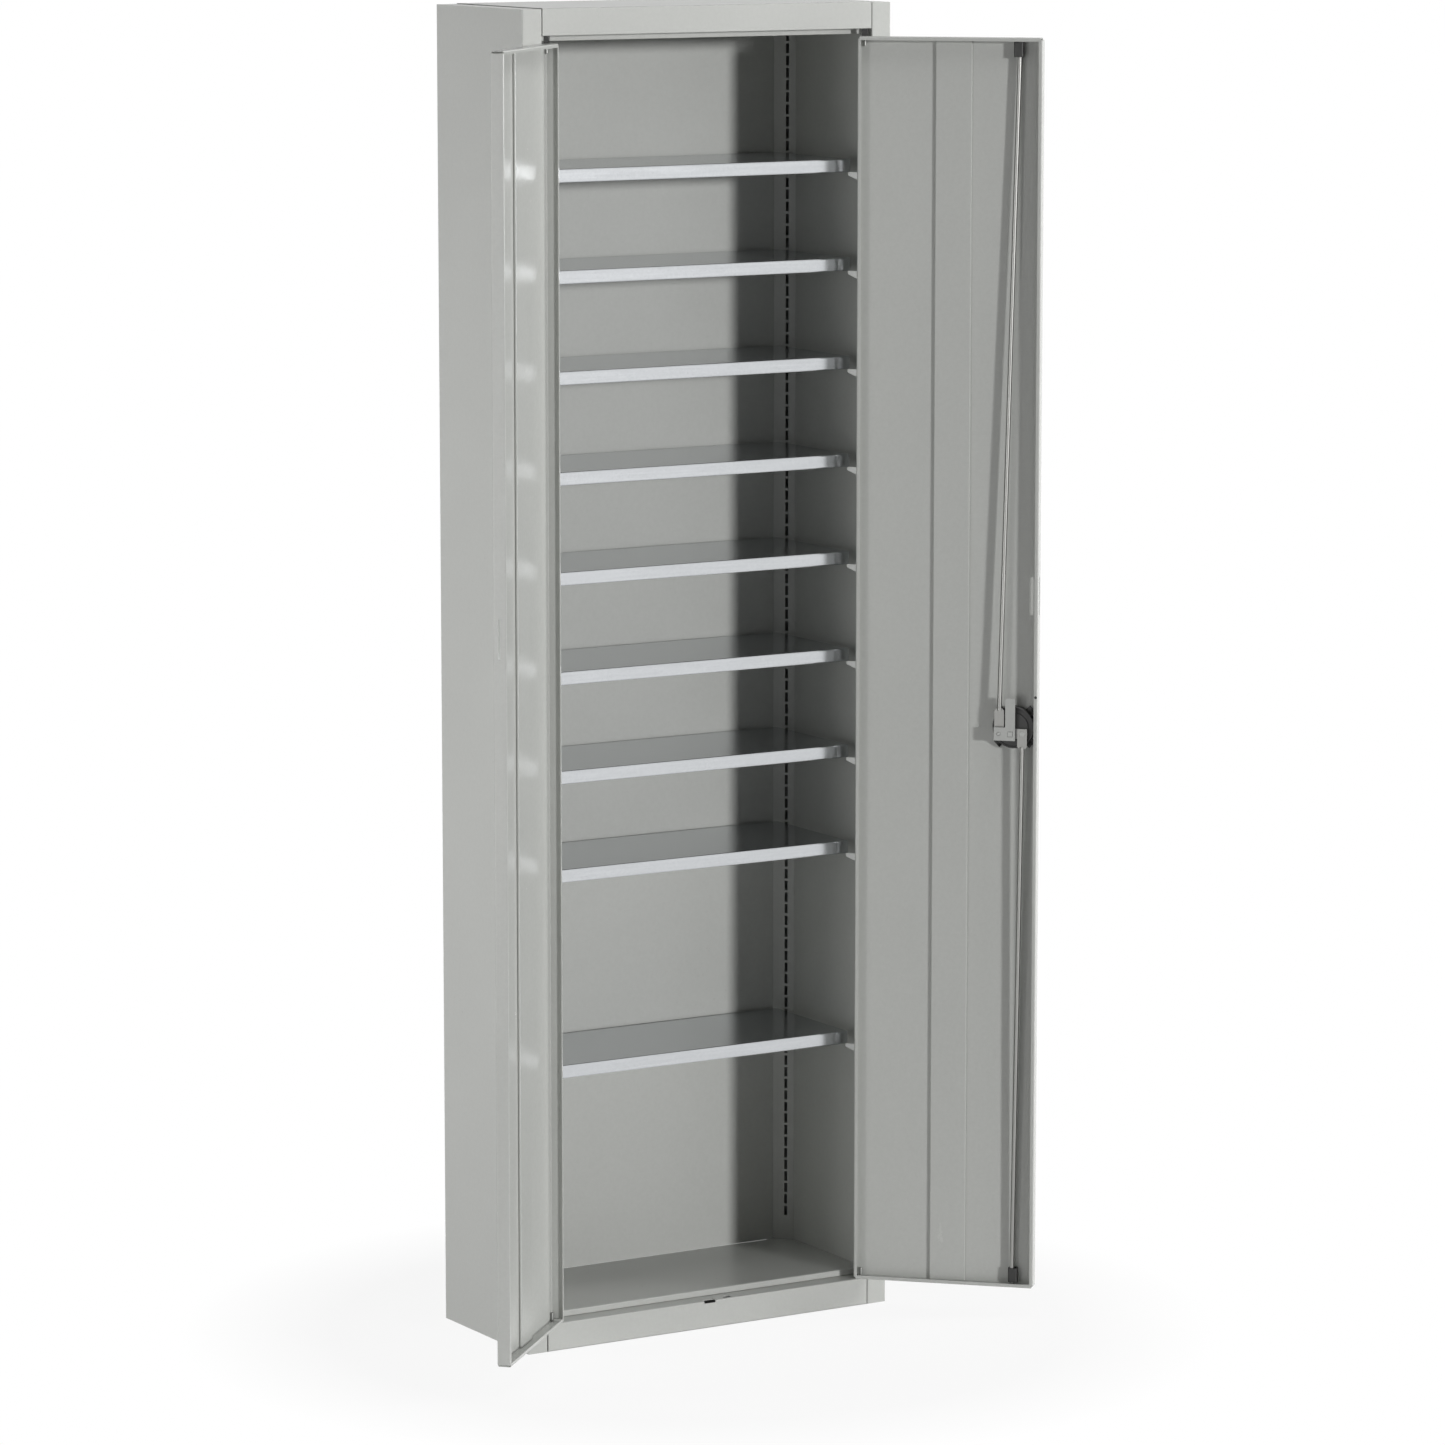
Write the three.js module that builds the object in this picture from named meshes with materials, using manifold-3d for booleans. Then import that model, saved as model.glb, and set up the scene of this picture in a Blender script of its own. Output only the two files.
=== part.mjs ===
// A tall sheet-metal storage cupboard with two doors, nine shelves and a rod lock, doors open.
// Millimetres. X runs to the right, Y from front to back, Z up. Every piece of the left half is
// drawn with the doors closed, and the right half is its mirror image.

import * as THREE from 'three';
import { mergeGeometries, mergeVertices } from 'three/addons/utils/BufferGeometryUtils.js';
import Module from 'manifold-3d';

const wasm = await Module();
wasm.setup();

// Overall size
const width = 680;
const depth = 280;
const height = 2150;

// Sheet and fits
const sheet = 1;
const bendRadius = 1;
const bendSteps = 2;
const fitGap = 0.3;
const overrun = 6;
const weldDistance = 1e-4;

// Front frame
const postWidth = 35.5;
const rebateDepth = 29;
const headerHeight = 42.5;
const headerLip = 9.5;
const plinthHeight = 45;
const plinthFoot = 20;
const seamGap = 1.2;
const lidStep = 1.2;

// Double side walls, back, top and floor
const wallSetback = 25;
const backSetback = 4;
const rearFlange = 60;
const topRearFlange = 22;
const floorTop = 56;
const floorLipReturn = 8;
const plinthTopDepth = 40;
const floorRearFlange = 18;

// Slotted corner strips
const rearStripLeg = 25;
const stripFlange = 12;
const slotWidth = 5;
const slotHeight = 16;
const slotPitch = 20;
const firstSlot = 98;
const slotTopMargin = 40;
const rearSlotShare = 0.62;
const frontSlotShare = 0.5;
const frontPitchSlots = 2;

// Shelves
const shelfWidth = 588;
const shelfFront = 46;
const shelfRearGap = 5;
const shelfRim = 21.5;
const shelfReturn = 8;
const shelfCornerGap = 7;
const lowestShelfShare = 0.16;
const shelfStepShare = 0.08;
const upperShelves = 8;
const lowestGapSteps = 2;

// Shelf clips
const clipThickness = 3.6;
const clipReach = 24;
const clipHook = 5;
const clipHookThickness = 1.6;
const clipNeck = 10;
const clipArm = 5;

// Doors
const doorSideGap = 1.5;
const doorMeetingGap = 2;
const doorBottomGap = 2;
const doorTopGap = 12.5;
const doorThickness = 21.5;
const doorLip = 6;
const doorCornerNotch = 3.5;
const doorOpenDegrees = 135.7;
const stiffenerStart = 125;
const stiffenerWidth = 60;
const stiffenerRise = 4;
const stiffenerFoot = 12;
const edgeSlotBottom = 1165;
const edgeSlotLength = 62;
const edgeSlotWidth = 4;
const edgeSlotDepth = 9.5;
const lipHoleRadius = 2.6;
const lipHoleHeight = 1031;
const meetingSlotLength = 21;
const meetingSlotWidth = 6;
const meetingSlotInset = 1.4;

// Pivot hinges
const pivotFromEdge = 9;
const pivotFromFace = 4;
const pinRadius = 2.5;
const pinReach = 16;
const bushWidth = 9.5;
const bushDepth = 7.6;
const bushRound = 2.4;
const washerRadius = 3.8;

// Lock: its axis, housing, plate and pins
const lockFromEdge = 258;
const lockHeight = 970;
const housingShift = 3.5;
const housingRise = 10;
const housingRadius = 34.5;
const housingDepth = 14;
const housingRim = 4;
const housingDish = 3;
const housingDishFloor = 15;
const earReach = 42;
const earWidth = 14;
const earThickness = 4;
const screwHeadRadius = 3.2;
const screwHeadHeight = 1.8;
const screwRadius = 1.8;
const plateThickness = 2;
const plateBarHeight = 22;
const plateTongueWidth = 16.5;
const plateTongueLength = 59;
const plateClearance = 2;
const pinArm = 19;
const camPinRadius = 3;
const camPinHeadRadius = 4.2;
const camPinHead = 0.8;
const armThickness = 1.8;
const armWidth = 16;
const stackGap = 0.7;
const spindleSide = 8;

// Rods and their guides
const rodRadius = 3.75;
const rodFlatWidth = 16;
const rodFlatThickness = 2;
const upperFlatLength = 50.5;
const lowerFlatLength = 33.5;
const rodFlatEnd = 8.5;
const guideFromEdge = 264;
const guideFromFace = 9;
const guideLength = 24;
const guideWall = 1;
const guideEndGap = 7;
const rodFloat = 4.6;
const rodClearance = 0.65;
const rodInset = 0.8;

// Outside handle
const roseRadius = 27;
const roseThickness = 3;
const hubRadius = 17;
const hubHeight = 16;
const wingLength = 84;
const wingWidth = 16;
const wingThickness = 11;
const wingFillet = 7.5;
const cylinderRadius = 7;
const cylinderProud = 1.2;
const cylinderLength = 12;
const keySlotLength = 8;
const keySlotWidth = 1.6;
const keySlotDepth = 3;

// Facets of round shapes: steps in a half turn, and sides of turned pieces
const holeSteps = 4;
const ringSteps = 6;
const discSteps = 8;
const cornerSteps = 3;
const housingSides = 28;
const pinSides = 16;
const screwSides = 10;
const rodSides = 12;

// Levels and faces worked out from the sizes above
const left = -width / 2;
const openingLeft = left + postWidth;
const wallLeft = left + wallSetback;
const backFace = depth - backSetback;
const headerBottom = height - headerHeight;
const doorWidth = (width - 2 * postWidth - 2 * doorSideGap - doorMeetingGap) / 2;
const doorLeft = openingLeft + doorSideGap;
const doorRight = doorLeft + doorWidth;
const doorBottom = plinthHeight + doorBottomGap;
const doorTop = headerBottom - doorTopGap;
const pivotX = doorLeft + pivotFromEdge;
const pivotY = pivotFromFace;
const shelfRear = backFace - shelfRearGap;
const panTop = height - lidStep;
const innerBottom = floorTop + fitGap;
const innerTop = panTop - sheet - fitGap;

// Materials
const paint = { color: 0xb9bbb8, roughness: 0.5, metalness: 0 };
const galvanised = { color: 0x9fa4a8, roughness: 0.35, metalness: 0.9 };
const zinc = { color: 0xb4b7b9, roughness: 0.38, metalness: 0.9 };
const steel = { color: 0xc4c4c0, roughness: 0.3, metalness: 1 };
const blackened = { color: 0x2b2c2d, roughness: 0.45, metalness: 0.9 };
const plastic = { color: 0x1b1b1a, roughness: 0.55, metalness: 0 };
const chrome = { color: 0xd0d0d0, roughness: 0.18, metalness: 1 };

// Booleans on closed geometries
function toSolid(geometry) {
  const bare = geometry.index ? geometry.toNonIndexed() : geometry.clone();
  bare.deleteAttribute('normal');
  bare.deleteAttribute('uv');
  const welded = mergeVertices(bare, weldDistance);
  return new wasm.Manifold(new wasm.Mesh({
    numProp: 3,
    vertProperties: new Float32Array(welded.attributes.position.array),
    triVerts: new Uint32Array(welded.index.array),
  }));
}

function toGeometry(body) {
  const mesh = body.getMesh();
  const geometry = new THREE.BufferGeometry();
  geometry.setAttribute('position', new THREE.BufferAttribute(mesh.vertProperties, 3));
  geometry.setIndex(new THREE.BufferAttribute(mesh.triVerts, 1));
  geometry.computeVertexNormals();
  return geometry;
}

function join(...geometries) {
  return toGeometry(geometries.map(toSolid).reduce((sum, next) => sum.add(next)));
}

function cut(geometry, ...cutters) {
  return toGeometry(cutters.map(toSolid).reduce((rest, next) => rest.subtract(next), toSolid(geometry)));
}

function keepInside(geometry, envelope) {
  return toGeometry(toSolid(geometry).intersect(toSolid(envelope)));
}

// Separate solids that never touch, held in one geometry
function group(geometries) {
  const bare = geometries.map((geometry) => {
    const plain = geometry.index ? geometry.toNonIndexed() : geometry.clone();
    plain.deleteAttribute('normal');
    plain.deleteAttribute('uv');
    return plain;
  });
  return mergeGeometries(bare);
}

// The same solid mirrored to the cupboard's other half
function mirrored(geometry) {
  const other = geometry.index ? geometry.toNonIndexed() : geometry.clone();
  other.scale(-1, 1, 1);
  const place = other.attributes.position;
  for (let corner = 0; corner < place.count; corner += 3) {
    const second = new THREE.Vector3().fromBufferAttribute(place, corner + 1);
    const third = new THREE.Vector3().fromBufferAttribute(place, corner + 2);
    place.setXYZ(corner + 1, third.x, third.y, third.z);
    place.setXYZ(corner + 2, second.x, second.y, second.z);
  }
  other.computeVertexNormals();
  return other;
}

// Plain shapes
function box(minX, maxX, minY, maxY, minZ, maxZ) {
  const block = new THREE.BoxGeometry(maxX - minX, maxY - minY, maxZ - minZ);
  return block.translate((minX + maxX) / 2, (minY + maxY) / 2, (minZ + maxZ) / 2);
}

function prism(points, length) {
  return new THREE.ExtrudeGeometry(new THREE.Shape(points), { depth: length, bevelEnabled: false });
}

// A plan outline (x, y) raised from one level to another
function upright(points, fromZ, toZ) {
  return prism(points, toZ - fromZ).translate(0, 0, fromZ);
}

// A side outline (y, z) run from left to right
function lengthwise(points, fromX, toX) {
  const turn = new THREE.Matrix4().makeBasis(
    new THREE.Vector3(0, 1, 0), new THREE.Vector3(0, 0, 1), new THREE.Vector3(1, 0, 0));
  return prism(points, toX - fromX).applyMatrix4(turn).translate(fromX, 0, 0);
}

// A front outline (x, z) run from front to back
function frontToBack(points, fromY, toY) {
  return prism(points, toY - fromY).rotateX(Math.PI / 2).translate(0, toY, 0);
}

function round(radius, steps) {
  return new THREE.Shape().absarc(0, 0, radius, 0, 2 * Math.PI).getPoints(steps);
}

function at(points, x, y) {
  return points.map((point) => new THREE.Vector2(point.x + x, point.y + y));
}

function roundedBlock(halfWidth, halfDepth, radius) {
  const shape = new THREE.Shape();
  shape.absarc(halfWidth - radius, halfDepth - radius, radius, 0, Math.PI / 2);
  shape.absarc(radius - halfWidth, halfDepth - radius, radius, Math.PI / 2, Math.PI);
  shape.absarc(radius - halfWidth, radius - halfDepth, radius, Math.PI, 3 * Math.PI / 2);
  shape.absarc(halfWidth - radius, radius - halfDepth, radius, 3 * Math.PI / 2, 2 * Math.PI);
  return shape.getPoints(cornerSteps);
}

function rows(...pairs) {
  return pairs.map(([first, second]) => new THREE.Vector2(first, second));
}

// A sheet folded along a line of corners, with its thickness on the left of the line
function folded(corners, radius = bendRadius) {
  const face = [];
  const back = [];
  const path = rows(...corners);
  path.forEach((corner, index) => {
    const before = index > 0 ? corner.clone().sub(path[index - 1]).normalize() : null;
    const after = index < path.length - 1 ? path[index + 1].clone().sub(corner).normalize() : null;
    const along = before ?? after;
    const inward = new THREE.Vector2(-along.y, along.x);
    if (!before || !after) {
      face.push(corner);
      back.push(corner.clone().addScaledVector(inward, sheet));
      return;
    }
    const turn = Math.atan2(before.cross(after), before.dot(after));
    const side = Math.sign(turn);
    const faceRadius = side > 0 ? radius + sheet : radius;
    const backRadius = side > 0 ? radius : radius + sheet;
    const tangent = faceRadius * Math.tan(Math.abs(turn) / 2);
    const start = corner.clone().addScaledVector(before, -tangent);
    const centre = start.clone().addScaledVector(inward, side * faceRadius);
    const spoke = inward.clone().multiplyScalar(-side);
    for (let step = 0; step <= bendSteps; step += 1) {
      const arm = spoke.clone().rotateAround(new THREE.Vector2(), turn * step / bendSteps);
      face.push(centre.clone().addScaledVector(arm, faceRadius));
      back.push(centre.clone().addScaledVector(arm, backRadius));
    }
  });
  return { outline: [...face, ...back.reverse()], face };
}

// Side pan: rear flange, outer skin, front post and its return, closed by top and bottom flanges
function sidePan() {
  const pan = folded([
    [left + rearFlange, depth], [left, depth], [left, 0], [openingLeft, 0],
    [openingLeft, rebateDepth - fitGap],
  ]);
  const lastCorner = new THREE.Vector2(openingLeft, depth);
  const envelope = upright([...pan.face.slice(1), lastCorner], -overrun, height + overrun);
  const flange = (level) => keepInside(
    box(left, openingLeft, 0, depth - sheet, level, level + sheet), envelope);
  return join(upright(pan.outline, 0, panTop), flange(0), flange(panTop - sheet));
}

// The slots of one corner strip, one above the other, ready to be cut
const slotCount = Math.floor((height - slotTopMargin - slotHeight - firstSlot) / slotPitch) + 1;
function slotLadder(place, angle, every) {
  const slots = Array.from({ length: Math.ceil(slotCount / every) }, (_, index) => {
    const bottom = firstSlot + index * every * slotPitch;
    const slot = box(-overrun / 2, overrun / 2, -slotWidth / 2, slotWidth / 2, bottom, bottom + slotHeight);
    return slot.rotateZ(angle).translate(place.x, place.y, 0);
  });
  return group(slots);
}

// Rear corner strip: a flange on the outside of the inner wall, and the slotted face at 45 degrees
// out to the edge of the back panel
const lapOffset = sheet + fitGap;
const rearSlot = new THREE.Vector2(
  wallLeft + rearStripLeg * (1 - rearSlotShare), backFace - rearStripLeg * rearSlotShare);
function rearStrip() {
  const strip = folded([
    [wallLeft - lapOffset, backFace - rearStripLeg - lapOffset - stripFlange],
    [wallLeft - lapOffset, backFace - rearStripLeg - lapOffset],
    [wallLeft + rearStripLeg + lapOffset, backFace + lapOffset],
  ]);
  const slotted = cut(upright(strip.outline, innerBottom, innerTop), slotLadder(rearSlot, -Math.PI / 4, 1));
  return join(slotted, clips(rearSlot, -Math.PI / 4));
}

// Front corner strip, hidden behind the post: from the post's return to the inner wall
const frontStripLeg = openingLeft - wallLeft;
const frontSlot = new THREE.Vector2(
  openingLeft - frontStripLeg * frontSlotShare, rebateDepth + frontStripLeg * frontSlotShare);
function frontStrip() {
  const strip = folded([
    [openingLeft - lapOffset, rebateDepth + lapOffset - stripFlange],
    [openingLeft - lapOffset, rebateDepth + lapOffset],
    [wallLeft - lapOffset, rebateDepth + frontStripLeg + lapOffset],
    [wallLeft - lapOffset, rebateDepth + frontStripLeg + lapOffset + stripFlange],
  ]);
  const slots = slotLadder(frontSlot, Math.PI / 4, frontPitchSlots);
  const slotted = cut(upright(strip.outline, innerBottom, innerTop), slots);
  return join(slotted, clips(frontSlot, Math.PI / 4));
}

// Inner skin of the double side wall, between the two strips
function innerWall() {
  return box(wallLeft - sheet, wallLeft, rebateDepth + frontStripLeg + lapOffset,
    backFace - rearStripLeg - lapOffset, innerBottom, innerTop);
}

function backPanel() {
  const edge = wallLeft + rearStripLeg + lapOffset;
  return box(edge, -edge, backFace, backFace + sheet, innerBottom, innerTop);
}

// Lid: rear flange, top and header fascia, let in between the side pans and standing a little over them
function topPanel() {
  const lid = folded([
    [depth, height - topRearFlange], [depth, height], [0, height], [0, headerBottom],
  ]);
  const edge = openingLeft + seamGap;
  const flangeEdge = left + rearFlange + fitGap;
  const notch = (fromX, toX) => box(fromX, toX, depth - sheet - fitGap, depth + overrun,
    height - topRearFlange - overrun, height + overrun);
  return cut(lengthwise(lid.outline, edge, -edge),
    notch(edge - overrun, flangeEdge), notch(-flangeEdge, -edge + overrun));
}

// The rod holes in the frame and in the door lie over each other when the doors are shut
const rodPlace = new THREE.Vector2(doorLeft + guideFromEdge, guideFromFace);
const rodHole = rodRadius + rodClearance;
function rodSlot(floatSide, clearance = 0) {
  const radius = rodHole + clearance;
  const shape = new THREE.Shape();
  const first = Math.min(0, floatSide * rodFloat);
  const last = Math.max(0, floatSide * rodFloat);
  shape.absarc(last, 0, radius, -Math.PI / 2, Math.PI / 2);
  shape.absarc(first, 0, radius, Math.PI / 2, 3 * Math.PI / 2);
  return at(shape.getPoints(holeSteps), rodPlace.x, rodPlace.y);
}

// Underside of the header with the stop lip, and the hole for the upper rod
function headerRail() {
  const rail = folded([
    [lapOffset, headerBottom], [rebateDepth, headerBottom], [rebateDepth, headerBottom - headerLip],
  ]);
  const edge = openingLeft + seamGap;
  const hole = mirrored(upright(rodSlot(-1), headerBottom - overrun, headerBottom + overrun));
  return cut(lengthwise(rail.outline, edge, -edge), hole);
}

// Plinth: top ledge, front face and foot, with the slot at the doors' meeting line
function plinth() {
  const rail = folded([
    [plinthTopDepth, plinthHeight], [0, plinthHeight], [0, 0], [plinthFoot, 0],
  ]);
  const edge = openingLeft + seamGap;
  const hole = mirrored(upright(rodSlot(1), plinthHeight - overrun, plinthHeight + overrun));
  const slot = box(-meetingSlotLength / 2, meetingSlotLength / 2, meetingSlotInset,
    meetingSlotInset + meetingSlotWidth, plinthHeight - overrun, plinthHeight + overrun);
  return cut(lengthwise(rail.outline, edge, -edge), hole, slot);
}

// Raised bottom: rear flange, floor, front lip and its return
function floorPanel() {
  const rear = depth - sheet - 2 * fitGap;
  const lipBottom = plinthHeight + fitGap;
  const front = rebateDepth + fitGap;
  const tray = folded([
    [rear, floorTop - floorRearFlange], [rear, floorTop], [front, floorTop], [front, lipBottom],
    [front + floorLipReturn, lipBottom],
  ]);
  const edge = left + lapOffset;
  return lengthwise(tray.outline, edge, -edge);
}

// Shelf: a tray turned upside down, rim and return all round, the upright corners left open
// by the bends and the rear ones cropped for the strips
function shelf(top) {
  const bottom = top - shelfRim;
  const edge = -shelfWidth / 2;
  const corner = bendRadius + sheet;
  const body = folded([
    [shelfRear, bottom], [shelfRear, top], [shelfFront, top], [shelfFront, bottom],
    [shelfFront + shelfReturn, bottom],
  ]);
  const rim = folded([
    [edge + shelfReturn, top], [edge, top], [edge, bottom], [edge + shelfReturn, bottom],
  ]);
  const leftRim = frontToBack(rim.outline, shelfFront + corner, shelfRear - corner);
  const crop = box(-shelfWidth, 0, -shelfWidth / 2, shelfWidth / 2, bottom - overrun, top + overrun)
    .rotateZ(-Math.PI / 4)
    .translate(wallLeft + rearStripLeg + shelfCornerGap * Math.SQRT2, backFace, 0);
  const tray = join(lengthwise(body.outline, edge + corner, -edge - corner), leftRim, mirrored(leftRim));
  return cut(tray, crop, mirrored(crop));
}

// Levels of the shelves: each rim hangs on clips whose slots it follows
const topOverSlot = slotHeight + shelfRim + fitGap;
const lowestShelfSlot = Math.round(lowestShelfShare * slotCount);
const shelfStepSlots = Math.round(shelfStepShare * slotCount);
const shelfTops = Array.from({ length: upperShelves + 1 }, (_, index) => {
  const steps = index === 0 ? 0 : index + lowestGapSteps - 1;
  return firstSlot + (lowestShelfSlot + steps * shelfStepSlots) * slotPitch + topOverSlot;
});

// Shelf clip: a hook behind the slot, a neck that bites on the slot's lower edge and an arm
// under the shelf's rim
function clip(shelfTop, place, angle) {
  const armTop = shelfTop - shelfRim - fitGap;
  const slotBottom = armTop - slotHeight;
  const seat = slotBottom - fitGap;
  const behind = -sheet - fitGap;
  const outline = rows(
    [behind - clipHookThickness, slotBottom - clipHook], [behind, slotBottom - clipHook],
    [behind, seat], [fitGap, seat], [clipReach, armTop - clipArm], [clipReach, armTop],
    [fitGap, armTop], [fitGap, seat + clipNeck], [behind - clipHookThickness, seat + clipNeck]);
  return frontToBack(outline, -clipThickness / 2, clipThickness / 2).rotateZ(angle)
    .translate(place.x, place.y, 0);
}

function clips(place, angle) {
  return group(shelfTops.map((top) => clip(top, place, angle)));
}

// Hinge pins, studs welded under the header and on the plinth
function hingePin(fromZ, toZ) {
  return upright(at(round(pinRadius, holeSteps), pivotX, pivotY), fromZ, toZ);
}

function pinHole(fromZ, toZ) {
  return upright(at(round(pinRadius + fitGap, holeSteps), pivotX, pivotY), fromZ, toZ);
}

// Door pan: outer face, side flanges and lips, with the top and bottom flanges set between them
function doorPan(hasLock) {
  const sides = folded([
    [doorLeft + doorLip, doorThickness], [doorLeft, doorThickness], [doorLeft, 0],
    [doorRight, 0], [doorRight, doorThickness], [doorRight - doorLip, doorThickness],
  ]);
  const end = folded([
    [doorThickness, doorTop - doorLip], [doorThickness, doorTop], [0, doorTop],
    [0, doorTop - doorLip],
  ]);
  const endAcross = [doorLeft + doorCornerNotch, doorRight - doorCornerNotch];
  const topEnd = lengthwise(end.outline, ...endAcross);
  const middle = doorBottom + doorTop;
  const bottomEnd = lengthwise(
    end.outline.map((point) => new THREE.Vector2(point.x, middle - point.y)), ...endAcross);
  const body = upright(sides.outline, doorBottom + doorCornerNotch, doorTop - doorCornerNotch);
  const edgeSlot = box(doorRight - overrun / 2, doorRight + overrun / 2,
    edgeSlotDepth - edgeSlotWidth / 2, edgeSlotDepth + edgeSlotWidth / 2,
    edgeSlotBottom, edgeSlotBottom + edgeSlotLength);
  const cutters = [
    edgeSlot,
    pinHole(doorTop - overrun / 2, doorTop + overrun),
    pinHole(doorBottom - overrun, doorBottom + overrun / 2),
  ];
  if (hasLock) {
    cutters.push(
      upright(rodSlot(-1), doorTop - overrun / 2, doorTop + overrun),
      upright(rodSlot(1), doorBottom - overrun, doorBottom + overrun / 2),
      across(round(spindleHole, holeSteps), lockX, lockHeight, -overrun, overrun),
      across(round(lipHoleRadius, cornerSteps), doorRight - doorLip / 2, lipHoleHeight,
        doorThickness - overrun / 2, doorThickness + overrun));
  }
  return cut(join(body, topEnd, bottomEnd), ...cutters);
}

// A round or free outline about an axis that runs through the door, from one depth to another
function across(points, x, z, fromY, toY) {
  return frontToBack(at(points, x, z), fromY, toY);
}

// Stiffener: a flat hat with its feet folded in under it, spot-welded to the door's inside
function stiffener() {
  const foot = sheet + fitGap;
  const face = foot + stiffenerRise;
  const from = doorLeft + stiffenerStart;
  const to = from + stiffenerWidth;
  const hat = folded([
    [to - stiffenerFoot, foot], [to, foot], [to, face], [from, face], [from, foot],
    [from + stiffenerFoot, foot],
  ], bendRadius / 2);
  return upright(hat.outline, doorBottom + sheet + fitGap, doorTop - sheet - fitGap);
}

// Upper bush, a block between the door and the header, and lower washer
function upperBush() {
  const block = at(roundedBlock(bushWidth / 2, bushDepth / 2, bushRound), pivotX, pivotY);
  return cut(upright(block, doorTop + fitGap, headerBottom - 2 * fitGap),
    pinHole(doorTop - overrun, headerBottom + overrun));
}

function lowerWasher() {
  const ring = at(round(washerRadius, ringSteps), pivotX, pivotY);
  return cut(upright(ring, plinthHeight + fitGap, doorBottom - fitGap),
    pinHole(plinthHeight - overrun, doorBottom + overrun));
}

// Lock stack, from the door's sheet inwards: housing, rotor arm, rod ends, plate
const lockX = doorLeft + lockFromEdge;
const spindleHole = spindleSide * Math.SQRT1_2 + 2 * fitGap;
const housingBase = sheet + fitGap;
const housingTop = housingBase + housingDepth;
const armBase = housingTop + stackGap;
const armTop = armBase + armThickness;
const flatBase = armTop + stackGap;
const flatTop = flatBase + rodFlatThickness;
const plateBase = doorThickness + plateClearance;
const plateTop = plateBase + plateThickness;
const rodAxisAtLock = (flatBase + flatTop) / 2;

// Round moulded housing with a raised rim and four flat screw ears
const housingX = lockX + housingShift;
const housingZ = lockHeight + housingRise;
const earAngles = [1, 3, 5, 7].map((eighth) => eighth * Math.PI / 4);
const screwRing = (housingRadius + earReach) / 2;
function screwPlace(angle) {
  return { x: housingX + screwRing * Math.cos(angle), z: housingZ + screwRing * Math.sin(angle) };
}

function housing() {
  const floor = housingTop - housingDish;
  const profile = rows(
    [0, housingBase], [housingRadius, housingBase], [housingRadius, floor],
    [housingRadius - housingRim / 2, housingTop], [housingRadius - housingRim, housingTop],
    [housingRadius - housingRim - housingDish, floor], [0, floor]);
  const dish = new THREE.LatheGeometry(profile, housingSides).translate(housingX, 0, housingZ);
  const ears = earAngles.map((angle) => {
    const ear = rows(
      [0, -earWidth / 2], [earReach, -earWidth / 2], [earReach, earWidth / 2], [0, earWidth / 2]);
    const turned = ear.map((point) => point.rotateAround(new THREE.Vector2(), angle));
    return across(turned, housingX, housingZ, housingBase, housingBase + earThickness);
  });
  const screwHoles = earAngles.map((angle) => {
    const place = screwPlace(angle);
    return across(round(screwRadius + fitGap, cornerSteps), place.x, place.z, -overrun, housingTop);
  });
  const bore = across(round(spindleHole, holeSteps), lockX, lockHeight, -overrun, housingTop + overrun);
  return cut(join(dish, ...ears), bore, ...screwHoles);
}

// Pan-head screw through one ear, into the door's sheet
function lockScrew(angle) {
  const seat = housingBase + earThickness + fitGap;
  const profile = rows(
    [0, housingBase], [screwRadius, housingBase], [screwRadius, seat], [screwHeadRadius, seat],
    [screwHeadRadius, seat + screwHeadHeight / 2], [screwHeadRadius / 2, seat + screwHeadHeight],
    [0, seat + screwHeadHeight]);
  const place = screwPlace(angle);
  return new THREE.LatheGeometry(profile, screwSides).translate(place.x, 0, place.z);
}

function squareHole(fromY, toY) {
  const half = spindleSide / 2 + fitGap;
  return box(lockX - half, lockX + half, fromY, toY, lockHeight - half, lockHeight + half);
}

// Rotor arm: the bar behind the rod ends that carries both pins
const pinHoleRadius = camPinRadius + fitGap;
function rotorArm() {
  const bar = roundedBlock(pinArm + armWidth / 2, armWidth / 2, armWidth / 2 - fitGap);
  const pinBores = [-pinArm, pinArm].map((offset) => (
    across(round(pinHoleRadius, holeSteps), lockX + offset, lockHeight, armBase - overrun, armTop + overrun)));
  return cut(across(bar, lockX, lockHeight, armBase, armTop),
    squareHole(armBase - overrun, armTop + overrun), ...pinBores);
}

// Plate: a bar out to the upper rod's pin and a tongue that turns behind the other door's lip
function camPlate() {
  const bottom = lockHeight - plateBarHeight / 2;
  const top = lockHeight + plateBarHeight / 2;
  const barEnd = lockX - pinArm - rodFlatWidth / 2;
  const from = lockX - plateTongueWidth / 2;
  const to = lockX + plateTongueWidth / 2;
  const outline = rows(
    [barEnd, bottom], [to, bottom], [to, lockHeight + plateTongueLength],
    [from, lockHeight + plateTongueLength], [from, top], [barEnd, top]);
  return cut(frontToBack(outline, plateBase, plateTop), squareHole(plateBase - overrun, plateTop + overrun),
    across(round(camPinRadius, holeSteps), lockX - pinArm, lockHeight, plateBase - overrun, plateTop + overrun));
}

// Pins of the two rods: the upper rod's is tall enough to reach through the plate
function upperRodPin() {
  const profile = rows(
    [0, armBase], [camPinRadius, armBase], [camPinRadius, flatTop + fitGap],
    [camPinHeadRadius, flatTop + fitGap], [camPinHeadRadius, plateBase - fitGap],
    [camPinRadius - fitGap, plateBase - fitGap], [camPinRadius - fitGap, plateTop], [0, plateTop]);
  return new THREE.LatheGeometry(profile, pinSides).translate(lockX - pinArm, 0, lockHeight);
}

function lowerRodPin() {
  const head = flatTop + fitGap;
  const profile = rows(
    [0, armBase], [camPinRadius, armBase], [camPinRadius, head], [camPinHeadRadius, head],
    [camPinHeadRadius, head + camPinHead], [0, head + camPinHead]);
  return new THREE.LatheGeometry(profile, pinSides).translate(lockX + pinArm, 0, lockHeight);
}

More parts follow.
